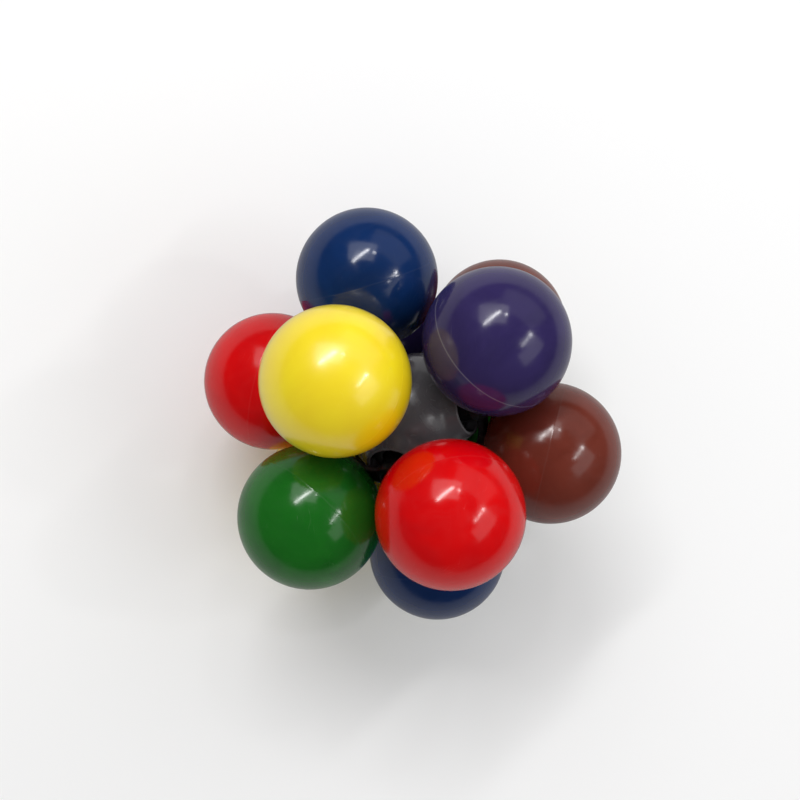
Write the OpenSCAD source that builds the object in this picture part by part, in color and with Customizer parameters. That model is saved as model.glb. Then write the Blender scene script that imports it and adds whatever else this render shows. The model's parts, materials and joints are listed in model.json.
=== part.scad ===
// Pull-and-twist ball puzzle: twelve hollow balls in six pairs around a ported core.
// Millimetres. It stands on Z = 0 on its three lowest balls; Z is the axis of its threefold symmetry.

/* [Balls] */
// Outer radius of every ball
ball_r = 12.5; // [8:0.1:20]
// Wall thickness of the two half shells of a ball
ball_wall = 1.6; // [1:0.1:3]
// Distance from the core's centre to the middle of a pair, along its port's axis
pair_h = 22.6; // [18:0.1:32]
// Half the distance between the two ball centres of a pair
pair_l = 12.8; // [12.6:0.05:16]

/* [Core] */
// Outer radius of the core shell
core_r = 11.4; // [9:0.1:14]
// Wall thickness of the core shell
core_wall = 1.8; // [1.2:0.1:3]
// Radius of each round port
port_r = 4.2; // [3.4:0.1:5]
// Height of a port's raised lip, from the core's centre
port_lip_z = 11.85; // [11.5:0.05:12.2]
// Outer radius of a port's raised lip
port_lip_r = 4.75; // [4.5:0.05:5.2]

/* [Yokes and cords] */
// Radius of a yoke's stem
stem_r = 2.2; // [1.8:0.1:2.6]
// Running clearance around the stem in its bushing
stem_gap = 0.08; // [0.02:0.01:0.1]
// Thickness of the flat bar that joins the two pegs
bar_t = 1.4; // [1.2:0.1:1.6]
// Width of that bar
bar_w = 3.0; // [2:0.1:4]
// Radius of the peg that enters a ball
peg_r = 1.5; // [1.2:0.1:2]
// Radius of the elastic cord
cord_r = 0.6; // [0.4:0.05:0.8]

/* [Rest pose] */
// Compass direction of the first port
first_port = 8.3; // [0:0.1:120]
// Turn of the purple and brown pair on top
turn_purple_brown = -5.7; // [-8:0.1:8]
// Turn of the yellow and blue pair on top
turn_yellow_blue = 2.8; // [-8:0.1:8]
// Turn of the red and green pair on top
turn_red_green = -8.4; // [-9:0.1:8]
// Turn of each of the three pairs below
turn_lower = 8.0; // [0:0.1:9]

/* [Colours] */
// Yellow plastic
yellow = [0.95, 0.78, 0.02];
// Red plastic
red = [0.72, 0.02, 0.02];
// Blue plastic
blue = [0.03, 0.08, 0.26];
// Purple plastic
purple = [0.09, 0.06, 0.24];
// Green plastic
green = [0.03, 0.22, 0.05];
// Brown plastic
brown = [0.25, 0.07, 0.04];
// Grey-black plastic of the core
core_grey = [0.05, 0.05, 0.055];
// Black plastic of the yokes, bushings and beads
black_trim = [0.02, 0.02, 0.02];
// Cord
cord_white = [0.75, 0.73, 0.68];

/* [Hidden] */
$fn = 64;
// The ports point along the six faces of a cube that stands on its corner.
port_tilt = acos(1 / sqrt(3));
// Distance and lean of a ball's centre, seen from the core's centre.
ball_reach = sqrt(pair_h * pair_h + pair_l * pair_l);
ball_lean = atan2(pair_l, pair_h);
ball_in_r = ball_r - ball_wall;
// Both shells and both core halves meet at a lip in a groove.
seam_gap = 0.06;
lip_h = 1.0;
lip_root = 0.6;
lip_t = 0.75;
core_lip_t = 0.95;
lip_gap = 0.05;
fit_gap = 0.05;
core_in_r = core_r - core_wall;
// A neck rises from the core's surface to the lip of each port.
neck_z = 9.6;
neck_r = 6.0;
// The yoke's bar follows the core just outside the lips, and its pegs stand on flats of the balls.
bar_gap = 0.3;
bar_in_r = norm([port_lip_z, port_lip_r]) + bar_gap;
bar_reach = bar_in_r + bar_t / 2;
flat_reach = bar_in_r + bar_t + fit_gap;
flat_z = flat_reach - ball_reach;
collar_r = 2.4;
peg_l = 2.8;
peg_end_gap = 0.3;
socket_r = 3.2;
socket_floor = 1.2;
socket_end_z = flat_z + peg_l + socket_floor;
// Stem, bushing and bead, along the port's axis from the core's centre.
stem_in_z = 4.3;
stem_top_z = 14.6;
stem_top_r = 2.5;
stem_top_h = 1.85;
cord_bore_r = 0.9;
bead_seat_r = 1.6;
bead_seat_z = 13.0;
bead_r = 1.3;
flange_r = 5.2;
flange_z = [6.2, 8.0];
bushing_top_z = 9.9;
hub_r = 2.9;
hub_hole_z = 1.5;
cord_top_z = 15.6;
// Cutting shapes reach past the faces they cut by this much, and big ones clear the whole puzzle.
over = 1;
big = 60;

// Seen from above, the ports are this far apart and lean up and down in turn.
port_step = 60;
// A pair turned by this much has its balls midway between those of its neighbours.
upper_turn = 135;
lower_turn = 225;

// A pair is [compass direction of its port, tilt of the port from +Z, turn of its first ball].
upper_purple_brown = [first_port, port_tilt, upper_turn + turn_purple_brown];
upper_yellow_blue = [first_port + 2 * port_step, port_tilt, upper_turn + turn_yellow_blue];
upper_red_green = [first_port + 4 * port_step, port_tilt, upper_turn + turn_red_green];
lower_red_yellow = [first_port + 3 * port_step, 180 - port_tilt, lower_turn + turn_lower];
lower_blue_green = [first_port + 5 * port_step, 180 - port_tilt, lower_turn + turn_lower];
lower_brown_purple = [first_port + port_step, 180 - port_tilt, lower_turn + turn_lower];
pairs = [
  upper_purple_brown,
  upper_yellow_blue,
  upper_red_green,
  lower_red_yellow,
  lower_blue_green,
  lower_brown_purple
];

// Ball centre of a pair: side is 1 for its first ball and -1 for its second.
function turned(v, a) = [v[0] * cos(a) - v[1] * sin(a), v[0] * sin(a) + v[1] * cos(a), v[2]];
function tilted(v, a) = [v[0] * cos(a) + v[2] * sin(a), v[1], v[2] * cos(a) - v[0] * sin(a)];
function ball_centre(pair, side) =
  turned(tilted(turned([side * pair_l, 0, pair_h], pair[2]), pair[1]), pair[0]);
centres = [for (pair = pairs, side = [1, -1]) ball_centre(pair, side)];
function middle(i) = (max([for (c = centres) c[i]]) + min([for (c = centres) c[i]])) / 2;
lowest = min([for (c = centres) c[2]]) - ball_r;
// The core's centre, so that the origin is under the middle of the bounding box.
core_centre = [-middle(0), -middle(1), -lowest];

module at_port(pair) {
  translate(core_centre)
    rotate([0, pair[1], pair[0]])
      rotate([0, 0, pair[2]])
        children();
}

// Inside it, the ball is at the origin and -Z points to the core's centre.
module at_ball(pair, side) {
  at_port(pair)
    rotate([0, side * ball_lean, 0])
      translate([0, 0, ball_reach])
        children();
}

module upper_space(z) {
  translate([-big / 2, -big / 2, z])
    cube(big);
}

module lower_space(z) {
  translate([-big / 2, -big / 2, z - big])
    cube(big);
}

module tube(outer, inner, low, high) {
  translate([0, 0, low])
    difference() {
      cylinder(r = outer, h = high - low);
      translate([0, 0, -over])
        cylinder(r = inner, h = high - low + 2 * over);
    }
}

// A hollow sphere.
module shell(outer, inner) {
  difference() {
    sphere(r = outer);
    sphere(r = inner);
  }
}

module ball_outer_half(pair, side) {
  at_ball(pair, side) {
    intersection() {
      shell(ball_r, ball_in_r);
      upper_space(seam_gap / 2);
    }
    tube(ball_in_r + lip_t, ball_in_r, -lip_h, lip_root);
  }
}

module ball_inner_half(pair, side) {
  at_ball(pair, side)
    difference() {
      union() {
        intersection() {
          shell(ball_r, ball_in_r);
          lower_space(-seam_gap / 2);
        }
        translate([0, 0, flat_z])
          cylinder(r = socket_r, h = socket_end_z - flat_z);
      }
      lower_space(flat_z);
      translate([0, 0, -lip_h - lip_gap])
        cylinder(r = ball_in_r + lip_t + lip_gap, h = lip_h + lip_gap + over);
      translate([0, 0, flat_z - over])
        cylinder(r = peg_r + fit_gap, h = over + peg_l + peg_end_gap);
    }
}

// Cross-section of the yoke's bar, with round edges, at its distance from the core's centre.
module bar_section() {
  translate([bar_reach, 0]) {
    square([bar_t, bar_w - bar_t], center = true);
    for (side = [1, -1])
      translate([0, side * (bar_w - bar_t) / 2])
        circle(r = bar_t / 2);
  }
}

// Stem along the port, a flat bar bent around the core and a collared peg into each ball.
module twin_yoke(pair) {
  at_port(pair)
    difference() {
      union() {
        translate([0, 0, stem_in_z])
          cylinder(r = stem_r, h = bar_reach - stem_in_z);
        translate([0, 0, stem_top_z - stem_top_h])
          cylinder(r = stem_top_r, h = stem_top_h);
        rotate([90, 0, 0])
          rotate([0, 0, 90 - ball_lean])
            rotate_extrude(angle = 2 * ball_lean)
              bar_section();
        for (side = [1, -1])
          rotate([0, side * ball_lean, 0]) {
            translate([0, 0, bar_in_r])
              cylinder(r = collar_r, h = bar_t);
            translate([0, 0, bar_reach])
              cylinder(r = peg_r, h = flat_reach + peg_l - bar_reach);
          }
      }
      cylinder(r = cord_bore_r, h = stem_top_z + over);
      translate([0, 0, bead_seat_z])
        cylinder(r = bead_seat_r, h = stem_top_z);
    }
}

// Flanged ring that guides a stem; the flange sits inside the core.
module port_bushing(pair) {
  at_port(pair) {
    tube(flange_r, stem_r + stem_gap, flange_z[0], flange_z[1]);
    tube(port_r - fit_gap, stem_r + stem_gap, flange_z[0], bushing_top_z);
  }
}

module elastic_cord(pair) {
  at_port(pair)
    translate([0, 0, hub_hole_z + fit_gap])
      cylinder(r = cord_r, h = cord_top_z - hub_hole_z - fit_gap);
}

module cord_bead(pair) {
  at_port(pair)
    difference() {
      translate([0, 0, bead_seat_z + bead_r + fit_gap])
        sphere(r = bead_r);
      cylinder(r = cord_r + fit_gap, h = big);
    }
}

module cord_hub() {
  color(black_trim)
    difference() {
      translate(core_centre)
        sphere(r = hub_r);
      for (pair = pairs)
        at_port(pair)
          translate([0, 0, hub_hole_z])
            cylinder(r = cord_r + fit_gap, h = hub_r);
    }
}

module port_holes() {
  for (pair = pairs)
    rotate([0, pair[1], pair[0]])
      cylinder(r = port_r, h = big);
}

// The core splits across the first port's axis, through the four ports beside it.
module first_port_frame() {
  rotate([0, port_tilt, first_port])
    children();
}

// The core before it splits: a hollow ball with a raised lip around each port.
module whole_core() {
  difference() {
    union() {
      first_port_frame()
        sphere(r = core_r);
      for (pair = pairs)
        rotate([0, pair[1], pair[0]])
          translate([0, 0, neck_z])
            cylinder(r1 = neck_r, r2 = port_lip_r, h = port_lip_z - neck_z);
    }
    first_port_frame()
      sphere(r = core_in_r);
  }
}

module core_shell_right() {
  color(core_grey)
    translate(core_centre)
      difference() {
        union() {
          intersection() {
            whole_core();
            first_port_frame()
              upper_space(seam_gap / 2);
          }
          first_port_frame()
            tube(core_in_r + core_lip_t, core_in_r, -lip_h, lip_root);
        }
        port_holes();
      }
}

module core_shell_left() {
  color(core_grey)
    translate(core_centre)
      difference() {
        intersection() {
          whole_core();
          first_port_frame()
            lower_space(-seam_gap / 2);
        }
        first_port_frame()
          translate([0, 0, -lip_h - lip_gap])
            cylinder(r = core_in_r + core_lip_t + lip_gap, h = lip_h + lip_gap + over);
        port_holes();
      }
}

// One module per sub-part.
module upper_purple_brown_bushing() { color(black_trim) port_bushing(upper_purple_brown); }
module upper_purple_brown_cord() { color(cord_white) elastic_cord(upper_purple_brown); }
module upper_purple_brown_cord_bead() { color(black_trim) cord_bead(upper_purple_brown); }
module upper_purple_brown_yoke() { color(black_trim) twin_yoke(upper_purple_brown); }
module upper_purple_outer_half() { color(purple) ball_outer_half(upper_purple_brown, 1); }
module upper_purple_inner_half() { color(purple) ball_inner_half(upper_purple_brown, 1); }
module upper_brown_outer_half() { color(brown) ball_outer_half(upper_purple_brown, -1); }
module upper_brown_inner_half() { color(brown) ball_inner_half(upper_purple_brown, -1); }
module upper_yellow_blue_bushing() { color(black_trim) port_bushing(upper_yellow_blue); }
module upper_yellow_blue_cord() { color(cord_white) elastic_cord(upper_yellow_blue); }
module upper_yellow_blue_cord_bead() { color(black_trim) cord_bead(upper_yellow_blue); }
module upper_yellow_blue_yoke() { color(black_trim) twin_yoke(upper_yellow_blue); }
module upper_yellow_outer_half() { color(yellow) ball_outer_half(upper_yellow_blue, 1); }
module upper_yellow_inner_half() { color(yellow) ball_inner_half(upper_yellow_blue, 1); }
module upper_blue_outer_half() { color(blue) ball_outer_half(upper_yellow_blue, -1); }
module upper_blue_inner_half() { color(blue) ball_inner_half(upper_yellow_blue, -1); }
module upper_red_green_bushing() { color(black_trim) port_bushing(upper_red_green); }
module upper_red_green_cord() { color(cord_white) elastic_cord(upper_red_green); }
module upper_red_green_cord_bead() { color(black_trim) cord_bead(upper_red_green); }
module upper_red_green_yoke() { color(black_trim) twin_yoke(upper_red_green); }
module upper_red_outer_half() { color(red) ball_outer_half(upper_red_green, 1); }
module upper_red_inner_half() { color(red) ball_inner_half(upper_red_green, 1); }
module upper_green_outer_half() { color(green) ball_outer_half(upper_red_green, -1); }
module upper_green_inner_half() { color(green) ball_inner_half(upper_red_green, -1); }
module lower_red_yellow_bushing() { color(black_trim) port_bushing(lower_red_yellow); }
module lower_red_yellow_cord() { color(cord_white) elastic_cord(lower_red_yellow); }
module lower_red_yellow_cord_bead() { color(black_trim) cord_bead(lower_red_yellow); }
module lower_red_yellow_yoke() { color(black_trim) twin_yoke(lower_red_yellow); }
module lower_red_outer_half() { color(red) ball_outer_half(lower_red_yellow, 1); }
module lower_red_inner_half() { color(red) ball_inner_half(lower_red_yellow, 1); }
module lower_yellow_outer_half() { color(yellow) ball_outer_half(lower_red_yellow, -1); }
module lower_yellow_inner_half() { color(yellow) ball_inner_half(lower_red_yellow, -1); }
module lower_blue_green_bushing() { color(black_trim) port_bushing(lower_blue_green); }
module lower_blue_green_cord() { color(cord_white) elastic_cord(lower_blue_green); }
module lower_blue_green_cord_bead() { color(black_trim) cord_bead(lower_blue_green); }
module lower_blue_green_yoke() { color(black_trim) twin_yoke(lower_blue_green); }
module lower_blue_outer_half() { color(blue) ball_outer_half(lower_blue_green, 1); }
module lower_blue_inner_half() { color(blue) ball_inner_half(lower_blue_green, 1); }
module lower_green_outer_half() { color(green) ball_outer_half(lower_blue_green, -1); }
module lower_green_inner_half() { color(green) ball_inner_half(lower_blue_green, -1); }
module lower_brown_purple_bushing() { color(black_trim) port_bushing(lower_brown_purple); }
module lower_brown_purple_cord() { color(cord_white) elastic_cord(lower_brown_purple); }
module lower_brown_purple_cord_bead() { color(black_trim) cord_bead(lower_brown_purple); }
module lower_brown_purple_yoke() { color(black_trim) twin_yoke(lower_brown_purple); }
module lower_brown_outer_half() { color(brown) ball_outer_half(lower_brown_purple, 1); }
module lower_brown_inner_half() { color(brown) ball_inner_half(lower_brown_purple, 1); }
module lower_purple_outer_half() { color(purple) ball_outer_half(lower_brown_purple, -1); }
module lower_purple_inner_half() { color(purple) ball_inner_half(lower_brown_purple, -1); }

core_shell_right();
core_shell_left();
cord_hub();
upper_purple_brown_bushing();
upper_purple_brown_cord();
upper_purple_brown_cord_bead();
upper_purple_brown_yoke();
upper_purple_outer_half();
upper_purple_inner_half();
upper_brown_outer_half();
upper_brown_inner_half();
upper_yellow_blue_bushing();
upper_yellow_blue_cord();
upper_yellow_blue_cord_bead();
upper_yellow_blue_yoke();
upper_yellow_outer_half();
upper_yellow_inner_half();
upper_blue_outer_half();
upper_blue_inner_half();
upper_red_green_bushing();
upper_red_green_cord();
upper_red_green_cord_bead();
upper_red_green_yoke();
upper_red_outer_half();
upper_red_inner_half();
upper_green_outer_half();
upper_green_inner_half();
lower_red_yellow_bushing();
lower_red_yellow_cord();
lower_red_yellow_cord_bead();
lower_red_yellow_yoke();
lower_red_outer_half();
lower_red_inner_half();
lower_yellow_outer_half();
lower_yellow_inner_half();
lower_blue_green_bushing();
lower_blue_green_cord();
lower_blue_green_cord_bead();
lower_blue_green_yoke();
lower_blue_outer_half();
lower_blue_inner_half();
lower_green_outer_half();
lower_green_inner_half();
lower_brown_purple_bushing();
lower_brown_purple_cord();
lower_brown_purple_cord_bead();
lower_brown_purple_yoke();
lower_brown_outer_half();
lower_brown_inner_half();
lower_purple_outer_half();
lower_purple_inner_half();
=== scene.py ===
import json
import bmesh
import bpy
import numpy as np
from mathutils import Matrix, Vector


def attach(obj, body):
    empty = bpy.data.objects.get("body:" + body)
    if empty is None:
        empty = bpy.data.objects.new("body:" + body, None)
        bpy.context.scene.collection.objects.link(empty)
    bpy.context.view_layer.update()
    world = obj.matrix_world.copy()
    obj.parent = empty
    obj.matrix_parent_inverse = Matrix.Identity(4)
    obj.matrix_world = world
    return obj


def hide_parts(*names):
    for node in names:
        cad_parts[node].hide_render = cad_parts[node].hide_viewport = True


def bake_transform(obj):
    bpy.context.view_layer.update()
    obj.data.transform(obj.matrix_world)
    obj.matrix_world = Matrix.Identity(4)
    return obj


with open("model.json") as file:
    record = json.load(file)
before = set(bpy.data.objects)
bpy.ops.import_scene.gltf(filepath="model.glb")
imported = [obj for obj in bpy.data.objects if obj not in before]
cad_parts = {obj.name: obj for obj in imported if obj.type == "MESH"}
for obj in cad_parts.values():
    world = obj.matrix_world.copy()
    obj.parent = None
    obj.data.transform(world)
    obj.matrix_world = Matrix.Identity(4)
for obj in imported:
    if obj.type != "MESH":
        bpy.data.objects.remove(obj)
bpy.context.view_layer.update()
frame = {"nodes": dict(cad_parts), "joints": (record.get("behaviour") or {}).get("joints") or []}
print("frame loaded:", len(frame["nodes"]), "CAD nodes")

mm = 0.001  # every size below is in millimetres and is scaled once, when a mesh is made

puzzle = {
    "ballRadius": 12.5,
    "pairHeight": 22.6,  # core centre to the middle of a pair, along its port
    "pairHalf": 12.8,  # half the distance between a pair's ball centres
    "coreRadius": 11.4,
    "firstPort": 8.3,  # compass direction of the first port, degrees
    "portLean": np.degrees(np.arccos(1 / np.sqrt(3))),  # a cube standing on its corner
}

# degrees that turn a pair to stand midway between its neighbours
midway = {"upper": 135, "lower": 225}

# pair name: compass direction past the first port, level, degrees off midway, first and second ball's colour
pairs = {
    "upper_purple_brown": (0, "upper", -5.7, "purple", "brown"),
    "upper_yellow_blue": (120, "upper", 2.8, "yellow", "blue"),
    "upper_red_green": (240, "upper", -8.4, "red", "green"),
    "lower_red_yellow": (180, "lower", 8.0, "red", "yellow"),
    "lower_blue_green": (300, "lower", 8.0, "blue", "green"),
    "lower_brown_purple": (60, "lower", 8.0, "brown", "purple"),
}


def turnZ(degrees):
    return np.array(Matrix.Rotation(np.radians(degrees), 3, "Z"))


def turnY(degrees):
    return np.array(Matrix.Rotation(np.radians(degrees), 3, "Y"))


# the hinge of a pair passes through the core's centre
coreCentre = np.array(
    next(j["pos_m"] for j in frame["joints"] if j["type"] == "hinge")
)


# turns a pair's own frame, +Z out of its port and +X towards its first ball, into the row's frame
def pairTurn(name):
    compass, level, offMidway, _, _ = pairs[name]
    lean = puzzle["portLean"] if level == "upper" else 180 - puzzle["portLean"]
    return turnZ(puzzle["firstPort"] + compass) @ turnY(lean) @ turnZ(midway[level] + offMidway)


ballReach = float(np.hypot(puzzle["pairHeight"], puzzle["pairHalf"]))
ballLean = float(np.degrees(np.arctan2(puzzle["pairHalf"], puzzle["pairHeight"])))


# points in millimetres in a turned frame around the core's centre, to metres in the row's frame
def placed(points, turn):
    return points @ turn.T * mm + coreCentre


meshing = {
    "weld": 2e-6,  # metres within which points become one
    "cordWeld": 1e-6,
    "sliver": 1e-7,  # edges shorter than this are dissolved
    "sharpAngle": 35,  # degrees between faces past which an edge stays sharp
}


# a piece from arrays of points and faces, with the faces of each closed surface turned outwards;
# the last, optional array is 0 to 1 for each point, and says where a painted highlight makes the plastic pale
def makePiece(name, points, faces, material, body, replaced, paintedHighlight=None):
    mesh = bpy.data.meshes.new(name)
    mesh.from_pydata(points.tolist(), [], faces)
    if paintedHighlight is not None:
        layer = mesh.attributes.new("paintedHighlight", "FLOAT", "POINT")
        layer.data.foreach_set("value", paintedHighlight.astype(np.float32))
    work = bmesh.new()
    work.from_mesh(mesh)
    bmesh.ops.remove_doubles(work, verts=work.verts, dist=meshing["weld"])
    bmesh.ops.dissolve_degenerate(work, edges=work.edges, dist=meshing["sliver"])
    bmesh.ops.recalc_face_normals(work, faces=work.faces)
    work.to_mesh(mesh)
    work.free()
    mesh.shade_smooth()
    mesh.set_sharp_from_angle(angle=np.radians(meshing["sharpAngle"]))
    mesh.materials.append(material)
    piece = bpy.data.objects.new(name, mesh)
    bpy.context.scene.collection.objects.link(piece)
    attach(piece, body)
    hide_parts(*replaced)


# quads between the rows of a grid; a round grid joins its last row or column to its first
def gridFaces(rows, columns, roundRows=False, roundColumns=False):
    r = np.arange(rows if roundRows else rows - 1)
    c = np.arange(columns if roundColumns else columns - 1)
    r, c = np.meshgrid(r, c, indexing="ij")
    up, across = (r + 1) % rows, (c + 1) % columns
    quads = np.stack([r * columns + c, r * columns + across, up * columns + across, up * columns + c], -1)
    return quads.reshape(-1, 4).tolist()


# a profile of (radius, height) points turned once around Z: x = r cos a, y = r sin a, z = h
def lathe(profile, steps, closed=False):
    profile = np.asarray(profile, float)
    a = np.linspace(0, 2 * np.pi, steps, endpoint=False)
    r, h = profile[:, :1], profile[:, 1:]
    points = np.stack([r * np.cos(a), r * np.sin(a), h + 0 * a], -1).reshape(-1, 3)
    return points, gridFaces(len(profile), steps, roundRows=closed, roundColumns=True)


sideShare = 0.49  # a rounded corner takes up no more than this share of a side


# an outline with each corner rounded: the corner's point is swapped for a quadratic arc that starts and ends
# its radius away along the two sides; radii of 0 keep the point
def rounded(corners, radii, steps=5, closed=False):
    corners = np.asarray(corners, float)
    out = []
    count = len(corners)
    for i in range(count):
        here = corners[i]
        if radii[i] == 0 or (not closed and i in (0, count - 1)):
            out.append(here[None])
            continue
        back, ahead = corners[i - 1] - here, corners[(i + 1) % count] - here
        reach = min(radii[i], sideShare * np.linalg.norm(back), sideShare * np.linalg.norm(ahead))
        start = here + back / np.linalg.norm(back) * reach
        end = here + ahead / np.linalg.norm(ahead) * reach
        t = np.linspace(0, 1, steps)[:, None]
        out.append((1 - t) ** 2 * start + 2 * t * (1 - t) * here + t ** 2 * end)
    return np.concatenate(out)


# an arc of a circle around the origin, from one polar angle to another, as (radius, height) points
def arc(radius, start, end, steps):
    a = np.radians(np.linspace(start, end, steps))
    return np.stack([radius * np.sin(a), radius * np.cos(a)], -1)


# several closed surfaces in one mesh
def joined(*parts):
    points, faces, first = [], [], 0
    for p, f in parts:
        points.append(p)
        faces += [[i + first for i in face] for face in f]
        first += len(p)
    return np.concatenate(points), faces


def newGroup(name, inputs, outputs):
    group = bpy.data.node_groups.new(name, "ShaderNodeTree")
    for label, kind, value in inputs:
        socket = group.interface.new_socket(name=label, in_out="INPUT", socket_type=kind)
        socket.default_value = value
    for label, kind in outputs:
        group.interface.new_socket(name=label, in_out="OUTPUT", socket_type=kind)
    return group, group.nodes.new("NodeGroupInput"), group.nodes.new("NodeGroupOutput")


def addNode(tree, kind, **settings):
    node = tree.nodes.new(kind)
    for key, value in settings.items():
        if key.startswith("in_"):
            node.inputs[key[3:].replace("_", " ")].default_value = value
        else:
            setattr(node, key, value)
    return node


def mathNode(tree, operation, a, b=None, clamp=False):
    node = addNode(tree, "ShaderNodeMath", operation=operation, use_clamp=clamp)
    for socket, value in zip(node.inputs, (a, b)):
        if value is None:
            continue
        if isinstance(value, (int, float)):
            socket.default_value = value
        else:
            tree.links.new(value, socket)
    return node.outputs[0]


# a grey ramp between two stops, each a place and a level
def rampNode(tree, value, stops):
    node = tree.nodes.new("ShaderNodeValToRGB")
    tree.links.new(value, node.inputs[0])
    for element, (place, level) in zip(node.color_ramp.elements, stops):
        element.position = place
        element.color = (level, level, level, 1)
    return node.outputs[0]


scratches = {
    # turn of the stretched noise in radians, its scale, and a shift that keeps the layers apart
    "layers": [
        ((0.3, 0.9, 0.4), 900, 0),
        ((1.2, -0.5, 1.9), 700, 3),
        ((-0.7, 0.2, 2.6), 1100, 7),
    ],
    "stretch": (1, 0.02, 1),
    "width": 0.006,  # of the noise's range, on each side of its middle
    "patchSize": 6,  # patches are this many times coarser than the scratches
    "patchLimit": 1.05,
    "patchEdge": 6.0,
}


# fine straight scratches: a thin band of stretched noise, kept only where a coarse noise allows it
def buildScratches():
    s = scratches
    group, source, result = newGroup(
        "fineScratches",
        [("Vector", "NodeSocketVector", (0, 0, 0)), ("Density", "NodeSocketFloat", 0.5)],
        [("Mask", "NodeSocketFloat")],
    )
    total = None
    for turn, scale, shift in s["layers"]:
        place = addNode(group, "ShaderNodeMapping", in_Rotation=turn, in_Scale=s["stretch"])
        place.inputs["Location"].default_value = (shift, 0, 0)
        group.links.new(source.outputs["Vector"], place.inputs["Vector"])
        noise = addNode(group, "ShaderNodeTexNoise", in_Scale=scale, in_Detail=1.0, in_Roughness=0.4)
        group.links.new(place.outputs[0], noise.inputs["Vector"])
        away = mathNode(group, "ABSOLUTE", mathNode(group, "SUBTRACT", noise.outputs[0], 0.5))
        line = mathNode(group, "SUBTRACT", 1.0, mathNode(group, "DIVIDE", away, s["width"]), clamp=True)
        patch = addNode(group, "ShaderNodeTexNoise", in_Scale=scale / s["patchSize"], in_Detail=1.0)
        group.links.new(source.outputs["Vector"], patch.inputs["Vector"])
        limit = mathNode(group, "SUBTRACT", s["patchLimit"], source.outputs["Density"])
        keep = mathNode(group, "SUBTRACT", patch.outputs[0], limit, clamp=True)
        keep = mathNode(group, "MULTIPLY", keep, s["patchEdge"], clamp=True)
        line = mathNode(group, "MULTIPLY", line, keep)
        total = line if total is None else mathNode(group, "MAXIMUM", total, line)
    group.links.new(total, result.inputs["Mask"])
    return group


grain = {
    "cloud": {"in_Scale": 95, "in_Detail": 3.0, "in_Roughness": 0.55, "in_Distortion": 0.8},
    "peel": {"in_Scale": 520, "in_Detail": 2.0, "in_Roughness": 0.5},
    "wave": {"in_Scale": 120, "in_Detail": 1.0},
    "prints": {"in_Scale": 210, "in_Detail": 4.0, "in_Roughness": 0.6, "in_Distortion": 1.2},
    "dust": {"in_Scale": 620, "in_Randomness": 1.0},
    "cloudRamp": [(0.38, 0.0), (0.64, 1.0)],
    "printRamp": [(0.45, 0.0), (0.7, 1.0)],
    "speckSize": 0.085,
    "speckLimit": 0.93,  # cells whose random value is above this hold a speck
    "speckMark": 0.5,
    "markColor": (0.75, 0.75, 0.72, 1),
    "markPale": 0.035,
    "markRough": 0.22,
    "peelHeight": 0.12,
    "scratchDepth": 0.1,
    "speckHeight": 0.1,
}


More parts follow.
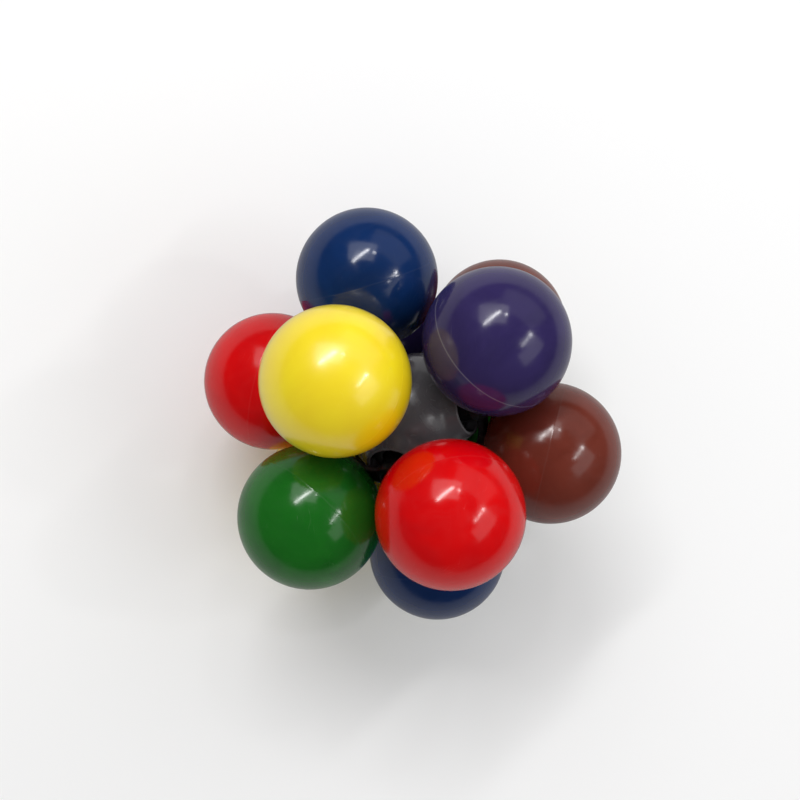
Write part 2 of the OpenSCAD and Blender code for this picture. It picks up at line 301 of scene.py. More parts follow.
# moulded plastic: cloudy pigment, finger marks, orange-peel, specks of dust and scratches
def buildPlastic(scratchGroup):
    g = grain
    group, source, result = newGroup(
        "mouldedPlastic",
        [
            ("Color", "NodeSocketColor", (0.5, 0.5, 0.5, 1)),
            ("Deep Color", "NodeSocketColor", (0.4, 0.4, 0.4, 1)),
            ("Polish", "NodeSocketFloat", 0.1),
            ("Smudge", "NodeSocketFloat", 0.1),
            ("Wear", "NodeSocketFloat", 0.5),
        ],
        [("Color", "NodeSocketColor"), ("Roughness", "NodeSocketFloat"), ("Height", "NodeSocketFloat")],
    )
    where = group.nodes.new("ShaderNodeTexCoord").outputs["Object"]
    cloud = addNode(group, "ShaderNodeTexNoise", **g["cloud"])
    peel = addNode(group, "ShaderNodeTexNoise", **g["peel"])
    wave = addNode(group, "ShaderNodeTexNoise", **g["wave"])
    prints = addNode(group, "ShaderNodeTexNoise", **g["prints"])
    dust = addNode(group, "ShaderNodeTexVoronoi", **g["dust"])
    for node in (cloud, peel, wave, prints, dust):
        group.links.new(where, node.inputs["Vector"])
    scratch = group.nodes.new("ShaderNodeGroup")
    scratch.node_tree = scratchGroup
    group.links.new(where, scratch.inputs["Vector"])
    group.links.new(source.outputs["Wear"], scratch.inputs["Density"])
    speck = mathNode(group, "DIVIDE", dust.outputs["Distance"], g["speckSize"])
    speck = mathNode(group, "SUBTRACT", 1.0, speck, clamp=True)
    chance = mathNode(group, "GREATER_THAN", firstChannel(group, dust.outputs["Color"]), g["speckLimit"])
    speck = mathNode(group, "MULTIPLY", speck, chance)
    mark = mathNode(group, "MULTIPLY", speck, g["speckMark"])
    mark = mathNode(group, "MAXIMUM", mark, scratch.outputs["Mask"])
    tint = addNode(group, "ShaderNodeMix", data_type="RGBA")
    group.links.new(rampNode(group, cloud.outputs[0], g["cloudRamp"]), tint.inputs["Factor"])
    group.links.new(source.outputs["Color"], tint.inputs["A"])
    group.links.new(source.outputs["Deep Color"], tint.inputs["B"])
    pale = addNode(group, "ShaderNodeMix", data_type="RGBA", blend_type="ADD")
    group.links.new(mathNode(group, "MULTIPLY", mark, g["markPale"]), pale.inputs["Factor"])
    group.links.new(tint.outputs["Result"], pale.inputs["A"])
    pale.inputs["B"].default_value = g["markColor"]
    group.links.new(pale.outputs["Result"], result.inputs["Color"])
    greasy = rampNode(group, prints.outputs[0], g["printRamp"])
    greasy = mathNode(group, "MULTIPLY", greasy, source.outputs["Smudge"])
    rough = mathNode(group, "ADD", source.outputs["Polish"], greasy)
    rough = mathNode(group, "ADD", rough, mathNode(group, "MULTIPLY", mark, g["markRough"]), clamp=True)
    group.links.new(rough, result.inputs["Roughness"])
    height = mathNode(group, "MULTIPLY", peel.outputs[0], g["peelHeight"])
    height = mathNode(group, "ADD", height, wave.outputs[0])
    furrow = mathNode(group, "MULTIPLY", scratch.outputs["Mask"], g["scratchDepth"])
    height = mathNode(group, "SUBTRACT", height, furrow)
    height = mathNode(group, "ADD", height, mathNode(group, "MULTIPLY", speck, g["speckHeight"]))
    group.links.new(height, result.inputs["Height"])
    return group


def firstChannel(tree, color):
    node = tree.nodes.new("ShaderNodeSeparateColor")
    tree.links.new(color, node.inputs[0])
    return node.outputs[0]


surface = {
    "ior": 1.5,
    "bumpDepth": 0.00012,  # metres
    "highlightColor": (0.5, 0.5, 0.5, 1),
}


def plasticMaterial(name, group, look):
    material = bpy.data.materials.new(name)
    material.use_nodes = True
    tree = material.node_tree
    shader = tree.nodes["Principled BSDF"]
    skin = tree.nodes.new("ShaderNodeGroup")
    skin.node_tree = group
    skin.inputs["Color"].default_value = (*look["color"], 1)
    skin.inputs["Deep Color"].default_value = (*look["deep"], 1)
    skin.inputs["Polish"].default_value = look["polish"]
    skin.inputs["Smudge"].default_value = look["smudge"]
    skin.inputs["Wear"].default_value = look["wear"]
    bump = addNode(tree, "ShaderNodeBump", in_Strength=look["bump"], in_Distance=surface["bumpDepth"])
    color = skin.outputs["Color"]
    if "paintedHighlight" in look:
        # painted highlight: pale plastic along the seam where two ball halves meet, and on the tops of the
        # core's lips
        place = addNode(tree, "ShaderNodeAttribute", attribute_name="paintedHighlight")
        amount = mathNode(tree, "MULTIPLY", place.outputs["Fac"], look["paintedHighlight"])
        highlightPaint = addNode(tree, "ShaderNodeMix", data_type="RGBA", blend_type="ADD")
        highlightPaint.inputs["B"].default_value = surface["highlightColor"]
        tree.links.new(amount, highlightPaint.inputs["Factor"])
        tree.links.new(color, highlightPaint.inputs["A"])
        color = highlightPaint.outputs["Result"]
    tree.links.new(color, shader.inputs["Base Color"])
    tree.links.new(skin.outputs["Roughness"], shader.inputs["Roughness"])
    tree.links.new(skin.outputs["Height"], bump.inputs["Height"])
    tree.links.new(bump.outputs[0], shader.inputs["Normal"])
    shader.inputs["IOR"].default_value = surface["ior"]
    shader.inputs["Coat Weight"].default_value = look.get("coat", 0)
    shader.inputs["Coat Roughness"].default_value = look.get("coatRough", 0.1)
    shader.inputs["Coat IOR"].default_value = look.get("coatIor", surface["ior"])
    return material


ballLooks = {
    "yellow": {
        "color": (0.98, 0.77, 0.001),
        "deep": (0.95, 0.71, 0.001),
        "coat": 0.7,
        "coatRough": 0.33,
        "coatIor": 1.8,
    },
    "red": {"color": (0.68, 0.001, 0.002), "deep": (0.60, 0.001, 0.003)},
    "blue": {"color": (0.004, 0.024, 0.105), "deep": (0.003, 0.018, 0.080)},
    # the purple balls get a stronger painted highlight along their seam
    "purple": {"color": (0.032, 0.022, 0.098), "deep": (0.025, 0.017, 0.080), "paintedHighlight": 0.17},
    "green": {"color": (0.009, 0.128, 0.010), "deep": (0.006, 0.098, 0.008)},
    "brown": {"color": (0.150, 0.028, 0.017), "deep": (0.122, 0.021, 0.012), "polish": 0.16},
}
# what every ball has unless its own look says otherwise, including a faint painted highlight along the seam
ballFinish = {"polish": 0.135, "smudge": 0.10, "wear": 0.42, "bump": 0.08, "paintedHighlight": 0.015}
coreLook = {
    "color": (0.104, 0.100, 0.110),
    "deep": (0.090, 0.087, 0.095),
    "polish": 0.21,
    "smudge": 0.12,
    "wear": 0.27,
    "bump": 0.10,
    # painted highlight on the tops of the port lips
    "paintedHighlight": 0.22,
}
trimLook = {
    "color": (0.010, 0.010, 0.011),
    "deep": (0.008, 0.008, 0.009),
    "polish": 0.38,
    "smudge": 0.12,
    "wear": 0.4,
    "bump": 0.2,
}

plasticGroup = buildPlastic(buildScratches())
ballPlastic = {
    color: plasticMaterial(color + "Plastic", plasticGroup, {**ballFinish, **look})
    for color, look in ballLooks.items()
}
corePlastic = plasticMaterial("corePlastic", plasticGroup, coreLook)
trimPlastic = plasticMaterial("trimPlastic", plasticGroup, trimLook)


sleeve = {
    "turnPitch": 50.265,  # eight threads around, each a full wave of 2 pi
    "alongPitch": 190.0,  # close to the pitch of the mesh's own threads
    "fibreScale": 4000,
    "gap": (0.30, 0.28, 0.24, 1),
    "thread": (0.66, 0.63, 0.56, 1),
    "threadRamp": [(0.0, 0.0), (0.9, 1.0)],
    "roughRamp": [(0.3, 0.65), (0.7, 0.9)],
    "fibreHeight": 0.4,
    "bump": 0.6,
    "bumpDepth": 0.00005,
}


# braided sleeve of the cord: two crossed sets of threads, worked out on the piece's own UV map
def cordMaterial():
    s = sleeve
    material = bpy.data.materials.new("cordSleeve")
    material.use_nodes = True
    tree = material.node_tree
    shader = tree.nodes["Principled BSDF"]
    uv = tree.nodes.new("ShaderNodeTexCoord").outputs["UV"]
    split = tree.nodes.new("ShaderNodeSeparateXYZ")
    tree.links.new(uv, split.inputs[0])
    around = mathNode(tree, "MULTIPLY", split.outputs[0], s["turnPitch"])
    along = mathNode(tree, "MULTIPLY", split.outputs[1], s["alongPitch"])
    threads = [mathNode(tree, "SINE", mathNode(tree, way, around, along)) for way in ("ADD", "SUBTRACT")]
    weave = mathNode(tree, "MAXIMUM", *threads)
    fibre = addNode(tree, "ShaderNodeTexNoise", in_Scale=s["fibreScale"], in_Detail=3.0)
    tree.links.new(tree.nodes.new("ShaderNodeTexCoord").outputs["Object"], fibre.inputs["Vector"])
    tint = addNode(tree, "ShaderNodeMix", data_type="RGBA")
    tree.links.new(rampNode(tree, weave, s["threadRamp"]), tint.inputs["Factor"])
    tint.inputs["A"].default_value = s["gap"]
    tint.inputs["B"].default_value = s["thread"]
    tree.links.new(tint.outputs["Result"], shader.inputs["Base Color"])
    tree.links.new(rampNode(tree, fibre.outputs[0], s["roughRamp"]), shader.inputs["Roughness"])
    bump = addNode(tree, "ShaderNodeBump", in_Strength=s["bump"], in_Distance=s["bumpDepth"])
    fuzz = mathNode(tree, "MULTIPLY", fibre.outputs[0], s["fibreHeight"])
    tree.links.new(mathNode(tree, "ADD", weave, fuzz), bump.inputs["Height"])
    tree.links.new(bump.outputs[0], shader.inputs["Normal"])
    return material


cordSleeve = cordMaterial()
print("materials made")


ball = {
    "wall": 1.6,
    "lipThickness": 0.75,
    "lipDepth": 1.0,
    "fitGap": 0.05,
    "seamGap": 0.004,  # the halves are pressed shut
    "flashHeight": 0.012,  # how far the flash line at the seam stands out
    "flashWidth": 0.12,
    "fineStart": 86.5,  # degrees from a pole to where the fine rows beside the seam start
    "fineRows": 16,
    "lipRoot": 0.5,
    "outerRows": 44,
    "innerRows": 36,
    "outerWall": (87, 24),  # degrees from the pole to the inner wall's edge, and its rows
    "innerWall": (96.5, 20),
    "rebateStep": 0.04,
    "flatReach": 14.517,  # core centre to the flat where a ball sits on its yoke
    "flatCorner": 0.3,
    "pegRadius": 1.5,
    "pegLength": 2.8,
    "socketDepth": 3.1,  # flat to the end of the peg's hole
    "socketRounding": (0.15, 0.2),
    "bossHeight": 4.0,  # flat to the top of the boss around that hole
    "bossRounding": 0.3,
    "socketRadius": 3.2,
    "steps": 160,
}


# radius of the outer surface next to the seam: the sphere, plus a low ridge that dies out in a few tenths
def ballSkin(heights):
    base = np.sqrt(puzzle["ballRadius"] ** 2 - heights ** 2)
    return base + ball["flashHeight"] * np.exp(-((heights / ball["flashWidth"]) ** 2))


# sphere from the outer pole to the seam, closed over a lip and the inner wall
def outerHalfProfile():
    b = ball
    radius, inside, gap = puzzle["ballRadius"], puzzle["ballRadius"] - b["wall"], b["seamGap"] / 2
    skin = arc(radius, 0, b["fineStart"], b["outerRows"])
    edge = np.geomspace(skin[-1, 1], gap, b["fineRows"])[1:]
    edge = np.stack([ballSkin(edge), edge], -1)
    lip = inside + b["lipThickness"]
    under = [[lip, gap], [lip, -b["lipDepth"]], [inside, -b["lipDepth"]], [inside, b["lipRoot"]]]
    wallStart, wallRows = b["outerWall"]
    return np.concatenate([skin, edge, under, arc(inside, wallStart, 0, wallRows)])


# sphere from the seam down to the flat, the socket for the peg, and the inner wall with its boss
def innerHalfProfile():
    b = ball
    radius, inside, gap = puzzle["ballRadius"], puzzle["ballRadius"] - b["wall"], b["seamGap"] / 2
    flat = b["flatReach"] - ballReach
    hole, boss = b["pegRadius"] + b["fitGap"], b["socketRadius"]
    holeEnd, bossTop = flat + b["socketDepth"], flat + b["bossHeight"]
    flatEdge = np.sqrt(radius ** 2 - flat ** 2)
    socket = [[0, holeEnd], [hole, holeEnd], [hole, flat], [flatEdge, flat]]
    base = rounded(socket, [0, *b["socketRounding"], 0])[:-1]
    turnDown = 180 - np.degrees(np.arcsin(flatEdge / radius))
    skin = arc(radius, turnDown, 180 - b["fineStart"], b["innerRows"])
    corner = rounded(np.array([base[-1], [flatEdge, flat], skin[3]]), [0, b["flatCorner"], 0], 6)
    edge = -np.geomspace(-skin[-1, 1], gap, b["fineRows"])[1:]
    edge = np.stack([ballSkin(edge), edge], -1)
    rebate = inside + b["lipThickness"] + b["fitGap"]
    depth = -b["lipDepth"] - b["fitGap"]
    over = [[rebate, -gap], [rebate, depth], [inside - b["rebateStep"], depth]]
    wallEnd = 180 - np.degrees(np.arcsin(boss / inside))
    wallStart, wallRows = b["innerWall"]
    wall = arc(inside, wallStart, wallEnd, wallRows)
    top = rounded([wall[-1], [boss, bossTop], [0, bossTop]], [0, b["bossRounding"], 0])
    return np.concatenate([base, corner[1:-1], skin[3:], edge, over, wall, top[1:]])


def buildBalls():
    halves = {"outer_half": outerHalfProfile(), "inner_half": innerHalfProfile()}
    made = 0
    for name, (_, level, _, first, second) in pairs.items():
        for side, color in ((1, first), (-1, second)):
            turn = pairTurn(name) @ turnY(side * ballLean)
            for half, profile in halves.items():
                points, faces = lathe(profile, ball["steps"])
                # the seam is at height 0 before the ball goes to its place
                # a painted highlight runs along the seam, pale where its ridge would catch light
                seam = np.exp(-((points[:, 2] / ball["flashWidth"]) ** 2))
                points = points + [0, 0, ballReach]
                node = f"{level}_{color}_{half}"
                makePiece("ball_" + node, placed(points, turn), faces, ballPlastic[color],
                          name + "_twin", [node], seam)
                made += 1
    print("ball halves made:", made)


buildBalls()


yoke = {
    "stemRadius": 2.2,
    "stemInner": 4.3,
    "bossRadius": 2.5,
    "bossFoot": 12.5,
    "bossTop": 14.6,
    "bore": 0.9,
    "seatRadius": 1.6,
    "seatHeight": 13.0,
    "barReach": 13.767,
    "barHalfThickness": 0.7,
    "barHalfWidth": 1.5,
    "barSpread": 0.7,  # how much wider the bar grows at its middle and ends
    "middleSwell": 0.24,  # length of the swelling at the middle, where 1 is half the bar
    "endSwell": 0.22,
    "squareness": 5,  # power of the bar's superellipse
    "barRows": 61,
    "barColumns": 48,
    "collarRadius": 2.4,
    "collarFoot": 13.067,
    "waist": 0.35,  # height of the slope between stem and boss
    "stemRounding": [0.15, 0.35, 0.3, 0.4, 0.35, 0.15, 0.1, 0.15],
    "pegRounding": [0, 0.25, 0.25, 0.1, 0.3, 0],
    "stemSteps": 72,
    "pegSteps": 64,
}


def stemSurface():
    y = yoke
    corners = [
        [y["bore"], y["stemInner"]],
        [y["stemRadius"], y["stemInner"]],
        [y["stemRadius"], y["bossFoot"]],
        [y["bossRadius"], y["bossFoot"] + y["waist"]],
        [y["bossRadius"], y["bossTop"]],
        [y["seatRadius"], y["bossTop"]],
        [y["seatRadius"], y["seatHeight"]],
        [y["bore"], y["seatHeight"]],
    ]
    return lathe(rounded(corners, y["stemRounding"], closed=True), y["stemSteps"], closed=True)


# a flat bar bent around the core: a rounded rectangle carried along an arc, its half-width growing like a
# bell curve at the middle and at both ends; the outline is a superellipse, |x / a| ^ p + |y / b| ^ p = 1
def barSurface():
    y = yoke
    rows, columns, power = y["barRows"], y["barColumns"], y["squareness"]
    along = np.linspace(-1, 1, rows)[:, None]
    angle = np.radians(ballLean) * along
    around = np.linspace(0, 2 * np.pi, columns, endpoint=False)[None]
    swell = np.exp(-((along / y["middleSwell"]) ** 2)) + np.exp(-(((np.abs(along) - 1) / y["endSwell"]) ** 2))
    width = y["barHalfWidth"] + y["barSpread"] * swell
    across, out = np.cos(around), np.sin(around)
    size = (np.abs(across) ** power + np.abs(out) ** power) ** (-1 / power)
    reach = y["barReach"] + y["barHalfThickness"] * out * size
    points = np.stack([reach * np.sin(angle), width * across * size, reach * np.cos(angle)], -1)
    ends = [list(range(columns)), list(range((rows - 1) * columns, rows * columns))]
    return points.reshape(-1, 3), gridFaces(rows, columns, roundColumns=True) + ends


def pegSurface(side):
    y, b = yoke, ball
    top, foot = b["flatReach"] + b["pegLength"], b["flatReach"] - b["fitGap"]
    corners = [
        [0, y["collarFoot"]],
        [y["collarRadius"], y["collarFoot"]],
        [y["collarRadius"], foot],
        [b["pegRadius"], foot],
        [b["pegRadius"], top],
        [0, top],
    ]
    points, faces = lathe(rounded(corners, y["pegRounding"]), y["pegSteps"])
    return points @ turnY(side * ballLean).T, faces


def buildYokes():
    points, faces = joined(stemSurface(), barSurface(), pegSurface(1), pegSurface(-1))
    for name in pairs:
        makePiece("yoke_" + name, placed(points, pairTurn(name)), faces, trimPlastic,
                  name + "_twin", [name + "_yoke"])
    print("yokes made:", len(pairs))


buildYokes()


inside = {
    "bushingBore": 2.28,
    "flangeRadius": 5.2,
    "flangeLow": 6.2,
    "flangeHigh": 8.0,
    "neckRadius": 4.15,
    "neckTop": 9.9,
    "bushingRounding": [0.3, 0.3, 0.3, 0.1, 0.35, 0.45],
    "bushingSteps": 80,
    "beadRadius": 1.3,
    "beadBore": 0.65,
    "beadCentre": 14.35,
    "beadWaist": 0.05,  # depth of the pressed waists, as a share of the radius
    "beadRows": 40,
    "beadSteps": 48,
}

cord = {
    "radius": 0.6,
    "low": 1.55,
    "high": 15.6,
    "rows": 150,
    "columns": 49,
    "threads": 8,  # around the cord
    "pitch": 9,  # radians of thread per millimetre
    "body": 0.95,  # share of the radius under the threads
    "threadHeight": 0.04,
    "capPower": 20,  # how late the ends round off
    "tip": 0.02,  # share of the radius left at the tips
    "uvStep": 0.05,  # UV length of a millimetre
    "blend": (2.5, 13.2),  # heights between which the cord stretches
}


def bushingSurface():
    i = inside
    corners = [
        [i["bushingBore"], i["flangeLow"]],
        [i["flangeRadius"], i["flangeLow"]],
        [i["flangeRadius"], i["flangeHigh"]],
        [i["neckRadius"], i["flangeHigh"]],
        [i["neckRadius"], i["neckTop"]],
        [i["bushingBore"], i["neckTop"]],
    ]
    return lathe(rounded(corners, i["bushingRounding"], closed=True), i["bushingSteps"], closed=True)


# a crimped bead around the cord: radius = R (1 - waist * cos(6 tilt) ^ 6), closed by its bore
def beadSurface():
    i = inside
    start = np.arcsin(i["beadBore"] / i["beadRadius"])
    tilt = np.linspace(start, np.pi - start, i["beadRows"])
    radius = i["beadRadius"] * (1 - i["beadWaist"] * np.cos(6 * tilt) ** 6)
    outer = np.stack([radius * np.sin(tilt), i["beadCentre"] + radius * np.cos(tilt)], -1)
    heights = np.linspace(outer[-1, 1], outer[0, 1], 8)[1:-1]
    bore = np.stack([np.full(len(heights), i["beadBore"]), heights], -1)
    return lathe(np.concatenate([outer, bore]), i["beadSteps"], closed=True)


# a tube whose radius swells and sinks with two crossed helices of threads
def cordSurface():
    c = cord
    h = np.linspace(c["low"], c["high"], c["rows"])[:, None]
    a = np.linspace(0, 2 * np.pi, c["columns"])[None]
    turn, rise = c["threads"] * a, c["pitch"] * h
    threads = np.maximum(np.sin(turn + rise), np.sin(turn - rise))
    middle, half = 0.5 * (c["low"] + c["high"]), 0.5 * (c["high"] - c["low"])
    cap = np.sqrt(np.clip(1 - ((h - middle) / half) ** c["capPower"], 0, 1))
    radius = c["radius"] * (c["body"] + c["threadHeight"] * threads) * (c["tip"] + (1 - c["tip"]) * cap)
    points = np.stack([radius * np.cos(a), radius * np.sin(a), h + 0 * a], -1).reshape(-1, 3)
    uv = np.stack([a / (2 * np.pi) + 0 * h, h * c["uvStep"] + 0 * a], -1).reshape(-1, 2)
    return points, gridFaces(c["rows"], c["columns"]), uv


# the cord runs from the core, which holds its inner end, to the bead on its outer end
def buildCords():
    points, faces, uv = cordSurface()
    for name in pairs:
        turn = pairTurn(name)
        mesh = bpy.data.meshes.new("cord_" + name)
        mesh.from_pydata(placed(points, turn).tolist(), [], faces)
        corner = np.zeros(len(mesh.loops), int)
        mesh.loops.foreach_get("vertex_index", corner)
        layer = mesh.uv_layers.new(name="UVMap")
        layer.data.foreach_set("uv", uv[corner].ravel())
        work = bmesh.new()
        work.from_mesh(mesh)
        bmesh.ops.remove_doubles(work, verts=work.verts, dist=meshing["cordWeld"])
        bmesh.ops.holes_fill(work, edges=work.edges)
        bmesh.ops.recalc_face_normals(work, faces=work.faces)
        work.to_mesh(mesh)
        work.free()
        mesh.shade_smooth()
        mesh.materials.append(cordSleeve)
        piece = bpy.data.objects.new("cord_" + name, mesh)
        bpy.context.scene.collection.objects.link(piece)
        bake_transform(piece)
        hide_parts(name + "_cord")
    print("cords made:", len(pairs))


def buildTrim():
    bushing, bead = bushingSurface(), beadSurface()
    for name in pairs:
        turn = pairTurn(name)
        makePiece("bushing_" + name, placed(bushing[0], turn), bushing[1], trimPlastic,
                  "core", [name + "_bushing"])
        makePiece("bead_" + name, placed(bead[0], turn), bead[1], trimPlastic,
                  name + "_bead", [name + "_cord_bead"])
    hub = frame["nodes"]["cord_hub"]
    hub.data.materials.clear()
    hub.data.materials.append(trimPlastic)
    print("bushings, beads and hub done")


buildCords()
buildTrim()


core = {
    "wall": 1.8,
    "portRadius": 4.2,
    "lipHeight": 11.85,  # top of a port's raised lip, from the core's centre
    "lipRadius": 4.75,
    "neckFoot": 6.0,  # radius where the neck under the lip meets the ball
    "neckEnd": 7.2,  # and where its fillet has died out
    "seamGap": 0.01,
    "seamDip": 0.05,
    "highlightDepth": 0.1,  # how far below a lip's top the painted highlight reaches
    "lipRounding": [0, 0.22, 0.22, 1.2, 0],
    "lipSteps": 9,
    "footDepth": 1,  # the port's wall starts deeper below the surface than this
    "acrossRows": 24,
    "ownColumns": 121,
    "sideColumns": 59,
    "sideEnd": 87,  # the even columns of a side face's half end this many degrees from its middle
    "cutEdge": 89.2,  # a last column close to the cut at 90 degrees
}


# height of the core's surface, of this radius, at a distance from a port's axis
def capHeight(radius, away):
    return np.sqrt(radius ** 2 - away ** 2)


# One face of a cube blown up to a sphere, with a port in its middle and +Z out of the port. For a compass
# angle t around the port, the outside runs up the port's wall, over its lip, down the neck and out along the
# sphere to the cube face's border; the inside runs along the sphere only.
# The border's tilt is atan(1 / max(|cos t|, |sin t|)).
def portPatch(angles, inner=False):
    c, radius = core, puzzle["coreRadius"] - (core["wall"] if inner else 0)
    border = np.arctan(1 / np.maximum(np.abs(np.cos(angles)), np.abs(np.sin(angles))))
    start = np.arcsin((c["portRadius"] if inner else c["neckEnd"]) / radius)
    s = np.linspace(0, 1, c["acrossRows"])[None]
    tilt = start + s * (border[:, None] - start)
    flat, high = radius * np.sin(tilt), radius * np.cos(tilt)
    if not inner:
        corners = [
            [c["portRadius"], capHeight(radius - c["wall"], c["portRadius"])],
            [c["portRadius"], c["lipHeight"]],
            [c["lipRadius"], c["lipHeight"]],
            [c["neckFoot"], capHeight(radius, c["neckFoot"])],
            [c["neckEnd"], capHeight(radius, c["neckEnd"])],
        ]
        wall = rounded(corners, c["lipRounding"], c["lipSteps"])[:-1]
        ones = np.ones((len(angles), 1))
        flat = np.concatenate([ones * wall[None, :, 0], flat], 1)
        high = np.concatenate([ones * wall[None, :, 1], high], 1)
    return flat * np.cos(angles)[:, None], flat * np.sin(angles)[:, None], high


# Half of the core: one whole face around its own port and half of each of the four faces beside it,
# outside and inside, with a flat rim along every cut that closes the wall.
def coreHalf(sign):
    parts = []
    # both sets of angles have steps of 3 degrees where two faces meet
    own = np.linspace(0, 2 * np.pi, core["ownColumns"])
    middle = np.linspace(-core["sideEnd"], core["sideEnd"], core["sideColumns"])
    side = np.radians(np.concatenate([[-90, -core["cutEdge"]], middle, [core["cutEdge"], 90]]))
    axes = np.eye(3)
    faces = [(sign * axes[2], axes[0], axes[1], own)]
    for out in (axes[0], -axes[0], axes[1], -axes[1]):
        faces.append((out, sign * axes[2], np.cross(out, sign * axes[2]), side))
    for out, east, north, angles in faces:
        skins = []
        for innerSide in (False, True):
            x, y, z = portPatch(angles, innerSide)
            points = x[..., None] * east + y[..., None] * north + z[..., None] * out
            if angles is side:
                if not innerSide:
                    # the outside dips along the cut, but the foot of the port's wall stays
                    outside = np.linalg.norm(points, axis=2) > puzzle["coreRadius"] - core["footDepth"]
                    dip = core["seamDip"] * outside
                    dip[1:-1] = 0
                    points = points * (1 - dip[..., None] / puzzle["coreRadius"])
                points[[0, -1]] += sign * axes[2] * core["seamGap"] / 2
            skins.append(points)
            parts.append((points.reshape(-1, 3), gridFaces(points.shape[0], points.shape[1])))
        if angles is side:
            for row in (0, -1):
                rim = np.concatenate([skins[0][row], skins[1][row][::-1]])
                parts.append((rim, [list(range(len(rim)))]))
    return joined(*parts)


def buildCore():
    turn = turnZ(puzzle["firstPort"]) @ turnY(puzzle["portLean"])
    # the frame of the first port, turned so that its X and Y axes run through the four ports beside it
    toCube = turn @ turnZ(45)
    for node, sign in (("core_shell_right", 1), ("core_shell_left", -1)):
        points, faces = coreHalf(sign)
        # painted highlight: the tops of the lips are made pale, standing in for their rounded edges catching
        # light
        lipHighlight = np.clip((np.abs(points).max(1) - core["lipHeight"]) / core["highlightDepth"] + 1, 0, 1)
        makePiece("visual_" + node, placed(points, toCube), faces, corePlastic,
                  "core", [node], lipHighlight)
    print("core halves made")


buildCore()


stage = {
    "floorSize": 6.0,
    "floorLines": 41,
    "floorRoughness": 0.9,
    "floor": 0.94,
    "floorInGloss": 0.46,
    "room": 0.45,
    "roomInGloss": 0.04,
}
camera = {
    "lens": 58.5,
    "sensor": 36.0,
    # columns: right, up and back of the camera, in the row's frame
    "right": (0.9924, -0.0006, 0.1233),
    "up": (-0.0069, 0.9982, 0.0596),
    "back": (-0.1232, -0.0600, 0.9906),
    "offset": (0.1259, -0.2513, -18.7069),  # core centre seen from the camera, in ball radii
    "nearest": 0.01,
    "furthest": 20,
}


def buildStage():
    mesh = bpy.data.meshes.new("floor")
    n = stage["floorLines"]
    line = np.linspace(-stage["floorSize"] / 2, stage["floorSize"] / 2, n)
    x, y = np.meshgrid(line, line, indexing="ij")
    mesh.from_pydata(np.stack([x, y, 0 * x], -1).reshape(-1, 3).tolist(), [], gridFaces(n, n))
    floor = bpy.data.objects.new("floor", mesh)
    bpy.context.scene.collection.objects.link(floor)
    material = bpy.data.materials.new("paleFloor")
    material.use_nodes = True
    tree = material.node_tree
    shader = tree.nodes["Principled BSDF"]
    shader.inputs["Roughness"].default_value = stage["floorRoughness"]
    # the floor stays greyer in reflections, so that the rims of the balls keep their colour
    rays = tree.nodes.new("ShaderNodeLightPath")
    step = stage["floorInGloss"] - stage["floor"]
    grey = mathNode(tree, "MULTIPLY_ADD", rays.outputs["Is Glossy Ray"], step)
    grey.node.inputs[2].default_value = stage["floor"]
    tree.links.new(grey, shader.inputs["Base Color"])
    mesh.materials.append(material)
    world = bpy.data.worlds.new("paleRoom")
    bpy.context.scene.world = world
    world.use_nodes = True
    # an even pale room that stays dim in reflections, so that the lamps draw the highlights
    tree = world.node_tree
    rays = tree.nodes.new("ShaderNodeLightPath")
    step = stage["roomInGloss"] - stage["room"]
    strength = mathNode(tree, "MULTIPLY_ADD", rays.outputs["Is Glossy Ray"], step)
    strength.node.inputs[2].default_value = stage["room"]
    background = tree.nodes["Background"]
    background.inputs["Color"].default_value = (1, 1, 1, 1)
    tree.links.new(strength, background.inputs["Strength"])
    bpy.context.scene.view_settings.view_transform = "Standard"


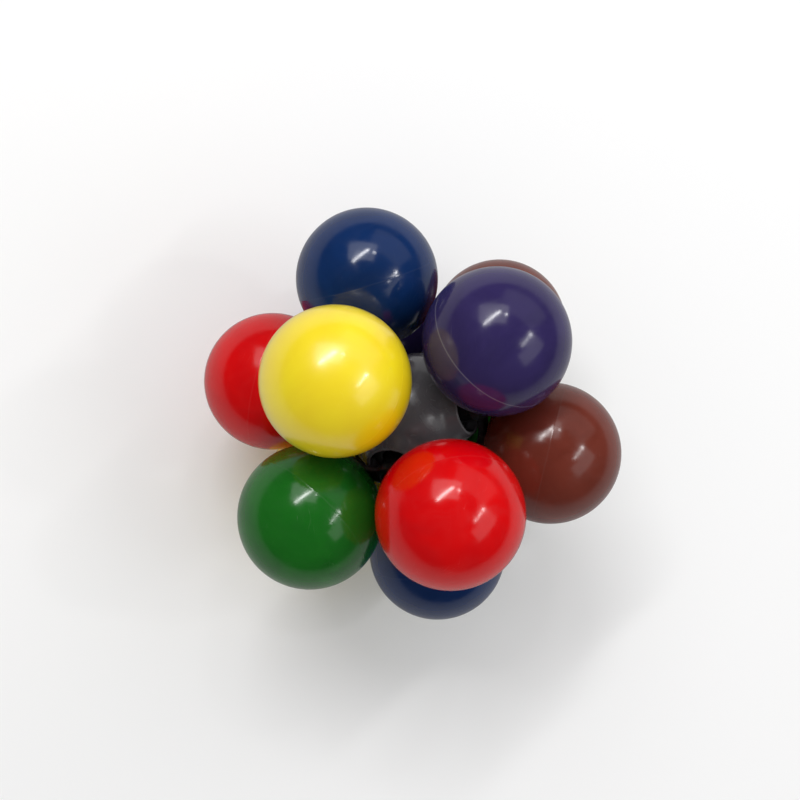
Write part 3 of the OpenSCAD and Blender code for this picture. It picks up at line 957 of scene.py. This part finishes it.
# Directions are the camera's right, up and back. A lamp stands across the middle of "start" and "end", which
# are directions from the puzzle. Its long side runs from one to the other, "width" is its short side and
# "distance" how far it stands off, in metres. The fill lamp lights the plastic but draws no highlight on it.
lampDistance = 0.8
lights = {
    "tubeLeft": {
        "start": (-0.359, 0.382, 0.847), "end": (0.065, 0.690, 0.718), "width": 0.045, "power": 1.7,
    },
    "lampLeft": {
        "start": (0.165, 0.610, 0.770), "end": (0.215, 0.625, 0.750), "width": 0.040, "power": 0.14,
    },
    "windowLeft": {
        "start": (-0.45, 0.62, 0.62), "end": (0.24, 0.60, 0.76), "width": 0.42, "power": 1.25,
    },
    "tubeRight": {
        "start": (0.700, 0.100, 0.700), "end": (0.544, -0.126, 0.827), "width": 0.035, "power": 0.45,
    },
    "lampRight": {
        "start": (0.705, 0.125, 0.690), "end": (0.750, 0.160, 0.645), "width": 0.045, "power": 0.32,
    },
    "windowRight": {
        "start": (0.88, 0.06, 0.45), "end": (0.52, -0.48, 0.70), "width": 0.30, "power": 0.5,
    },
    "ceiling": {
        "start": (0.05, 0.92, 0.38), "end": (0.88, 0.30, 0.36), "width": 0.80, "power": 1.1,
        "distance": 1.1,
    },
    "fill": {
        "start": (0.20, 0.85, 0.50), "end": (0.90, 0.30, 0.45), "width": 1.0, "power": 1.9,
        "distance": 1.2, "highlight": False,
    },
}


def buildLights(toRow):
    for name, look in lights.items():
        data = bpy.data.lights.new(name, "AREA")
        data.shape = "RECTANGLE"
        data.energy = look["power"]
        distance = look.get("distance", lampDistance)
        start, end = (np.array(look[key]) / np.linalg.norm(look[key]) for key in ("start", "end"))
        data.size, data.size_y = float(np.linalg.norm(end - start)) * distance, look["width"]
        out = toRow @ (start + end)
        out /= np.linalg.norm(out)
        x = toRow @ (end - start)
        x /= np.linalg.norm(x)
        y = np.cross(out, x)
        place = Matrix(np.stack([x, y, out], -1).tolist()).to_4x4()
        place.translation = Vector(coreCentre + out * distance)
        lamp = bpy.data.objects.new(name, data)
        lamp.matrix_world = place
        lamp.visible_glossy = look.get("highlight", True)
        bpy.context.scene.collection.objects.link(lamp)


def buildCamera():
    axes = np.stack([camera["right"], camera["up"], camera["back"]], -1)
    axes, _ = np.linalg.qr(axes)
    axes *= np.sign(np.sum(axes * np.stack([camera["right"], camera["up"], camera["back"]], -1), 0))
    data = bpy.data.cameras.new("camera")
    data.lens, data.sensor_width = camera["lens"], camera["sensor"]
    data.clip_start, data.clip_end = camera["nearest"], camera["furthest"]
    eye = coreCentre - axes @ np.array(camera["offset"]) * puzzle["ballRadius"] * mm
    place = Matrix(axes.tolist()).to_4x4()
    place.translation = Vector(eye)
    made = bpy.data.objects.new("camera", data)
    made.matrix_world = place
    bpy.context.scene.collection.objects.link(made)
    bpy.context.scene.camera = made
    return axes


buildStage()
toRow = buildCamera()
buildLights(toRow)
print("stage, lights and camera done")
